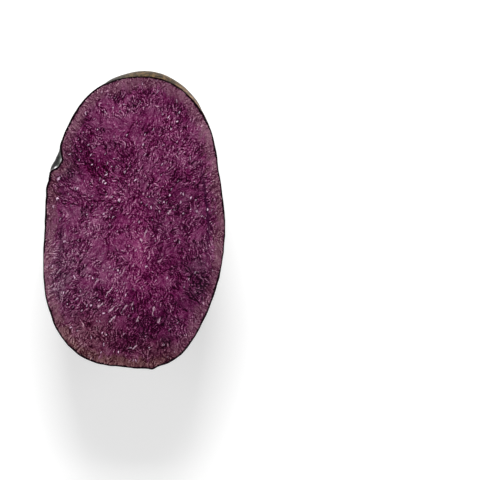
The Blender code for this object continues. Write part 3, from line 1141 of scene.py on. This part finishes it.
def skin_material(looks):
    """The dark skin: clouded purple-black with fine grain, corky pores, scurf by the eyes and a dull sheen.

    Under the edge at the rose end it is olive brown, partly russet and partly painted light, and the cut
    eye's hollow is grey, with a painted lit band and painted highlights.
    """
    material, made, shader = new_material("potato_skin")
    place = made.place_in_mm()
    clouds = made.noise(place, 0.12, 3.0, 0.6)
    grain = made.noise(place, 0.9, 3.0, 0.6)
    fine = made.noise(place, 2.4, 3.0, 0.7)
    layered = made.noise(made.vector_math("MULTIPLY", place, (0.5, 0.5, 3.2)), 1.1, 3.0, 0.6)
    fields = {"grain": grain, "fine": fine, "layered": layered}
    mottled = made.summed(fields, 0.455, grain=1.3, fine=1.3, layered=0.5)
    level = made.split(place, "SeparateXYZ")[2]
    under = made.math("SUBTRACT", BOX_HIGH[2] / MM, level)
    names = ("hollow", "cut_hollow", "brow", "lit_russet", "lit_russet_dark", "lit_russet_pale", "painted_highlight")
    marks = {name: made.attribute(name) for name in names}

    found = made.mix(made.remap(clouds, 0.35, 0.65), seen("darkest skin"), tuple(looks.skin))
    found = made.mix(made.remap(fine, 0.45, 0.8, 0.0, 0.55), found, seen("skin grain"))
    net = made.times(contour(made, place, 0.5, 0.05), made.remap(clouds, 0.45, 0.6, 0.0, 0.22))
    found = made.mix(net, found, seen("skin net"))
    # Olive brown skin at the rose end, partly russet and partly painted light where it faces the light
    found = made.mix(marks["lit_russet"], found, lit_russet_colour(made, looks, mottled, under, marks))
    worn = made.times(marks["brow"], made.remap(grain, 0.38, 0.62, 0.0, 0.6))
    found = made.mix(worn, found, seen("worn brow"))
    found = made.mix(made.remap(marks["hollow"], 0.45, 1.0, 0.0, 0.7), found, seen("hollow"))
    # The cut eye's hollow, with its painted lit band and painted highlights
    cut_hollow = cut_hollow_colour(made, mottled, grain, under, marks["painted_highlight"])
    found = made.mix(made.remap(marks["cut_hollow"], 0.06, 0.22), found, cut_hollow)

    pores = flecks(made, place, "3D", turn=20, stretch=0.8, scale=0.5, share=0.5, size=0.3, warp=1.6)
    pore = made.times(pores["Strength"], made.remap(marks["cut_hollow"], 0.1, 0.3, 1.0, 0.0))
    found = made.mix(made.times(pore, 0.7), found, seen("pore"))

    fields.update({"pore": pore, "net": net})
    height = made.summed(fields, grain=0.6, fine=0.5, pore=0.5, net=0.5)
    finish(made, shader, found, made.remap(fine, 0.3, 0.7, 0.38, 0.6), height, 0.2)
    shader.inputs["Specular IOR Level"].default_value = 0.05
    return material


class POTATO_OT_half(bpy.types.Operator):
    """Make the cut half, with its flesh and its skin, in place of the plain solid"""

    bl_idname = "potato.half"
    bl_label = "Make the cut half"

    def execute(self, context):
        mesh, offset = half_mesh(context.scene.potato_looks)
        half = add_object(PIECE, mesh)
        half["cut_middle"] = [float(offset[0] * MM), float(offset[1] * MM)]
        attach(half, "root")
        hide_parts("purple_potato_half")
        return {"FINISHED"}


def add_object(name, data):
    """A new object in the scene."""
    made = bpy.data.objects.new(name, data)
    bpy.context.scene.collection.objects.link(made)
    return made


def soft_light(name, watts, place, size):
    """A square soft light that faces the half."""
    lamp = bpy.data.lights.new(name, "AREA")
    lamp.energy = watts
    lamp.size = size
    holder = add_object(name, lamp)
    holder.location = place
    towards = -holder.location.normalized()
    holder.rotation_euler = towards.to_track_quat("-Z", "Y").to_euler()


def pale_world():
    """Pale at the horizon and dim overhead, so that the wet cut doesn't mirror a bright sky."""
    world = bpy.data.worlds.new("studio")
    world.use_nodes = True
    made = Nodes(world.node_tree)
    background = world.node_tree.nodes["Background"]
    way = made.add("TexCoord").outputs["Generated"]
    level = made.remap(made.split(way, "SeparateXYZ")[2], 0.0, OVERHEAD_FROM)
    made.plug(background.inputs["Color"], made.mix(level, HORIZON, OVERHEAD))
    bpy.context.scene.world = world


def pale_floor(stage):
    """A wide flat floor that glows a little."""
    side = FLOOR_HALF_SIDE
    mesh = bpy.data.meshes.new("floor")
    corners = [(-side, -side, 0.0), (side, -side, 0.0), (side, side, 0.0), (-side, side, 0.0)]
    mesh.from_pydata(corners, [], [(0, 1, 2, 3)])
    floor = add_object("floor", mesh)
    material, _, shader = new_material("pale_floor")
    shader.inputs["Base Color"].default_value = tuple(stage.floor_colour)
    shader.inputs["Roughness"].default_value = FLOOR_ROUGHNESS
    shader.inputs["Emission Color"].default_value = WHITE
    shader.inputs["Emission Strength"].default_value = stage.floor_glow
    mesh.materials.append(material)


def camera_above():
    """A camera straight above, which frames the cut as the photograph does."""
    middle = bpy.data.objects[PIECE]["cut_middle"]
    across = (PICTURE_MIDDLE[0] - CUT_MIDDLE_IN_PICTURE[0]) * MM_PER_PIXEL * MM
    down = (PICTURE_MIDDLE[1] - CUT_MIDDLE_IN_PICTURE[1]) * MM_PER_PIXEL * MM
    lens = bpy.data.cameras.new("camera")
    lens.sensor_width = SENSOR_WIDTH
    lens.lens = SENSOR_WIDTH * CAMERA_ABOVE_CUT / (PICTURE_SIDE * MM_PER_PIXEL * MM)
    camera = add_object("camera", lens)
    camera.location = (middle[0] + across, middle[1] - down, BOX_HIGH[2] + CAMERA_ABOVE_CUT)
    bpy.context.scene.camera = camera


class POTATO_OT_stage(bpy.types.Operator):
    """Set the pale floor, the soft lights and the camera"""

    bl_idname = "potato.stage"
    bl_label = "Set the stage"

    def execute(self, context):
        stage = context.scene.potato_stage
        pale_world()
        pale_floor(stage)
        soft_light("key_light", stage.key_power, *KEY_LIGHT)
        soft_light("left_light", stage.side_power, *LEFT_LIGHT)
        soft_light("right_light", stage.side_power, *RIGHT_LIGHT)
        camera_above()
        context.scene.view_settings.view_transform = "Standard"
        return {"FINISHED"}


class POTATO_PT_sidebar(bpy.types.Panel):
    """The half's sizes and colours, and the steps that make the picture"""

    bl_label = "Purple potato half"
    bl_space_type = "VIEW_3D"
    bl_region_type = "UI"
    bl_category = "Potato"

    def draw(self, context):
        for settings in (context.scene.potato_looks, context.scene.potato_stage):
            for name in settings.__annotations__:
                self.layout.prop(settings, name)
        self.layout.operator(POTATO_OT_half.bl_idname)
        self.layout.operator(POTATO_OT_stage.bl_idname)


CLASSES = (PotatoLooks, PotatoStage, POTATO_OT_half, POTATO_OT_stage, POTATO_PT_sidebar)


def register():
    """Make the classes known to Blender, and give each scene its settings."""
    for item in CLASSES:
        bpy.utils.register_class(item)
    bpy.types.Scene.potato_looks = bpy.props.PointerProperty(type=PotatoLooks)
    bpy.types.Scene.potato_stage = bpy.props.PointerProperty(type=PotatoStage)


def unregister():
    """Undo what register does."""
    del bpy.types.Scene.potato_stage
    del bpy.types.Scene.potato_looks
    for item in reversed(CLASSES):
        bpy.utils.unregister_class(item)


def main():
    """Make the half and its stage."""
    register()
    bpy.ops.potato.half()
    bpy.ops.potato.stage()


if __name__ == "__main__":
    main()
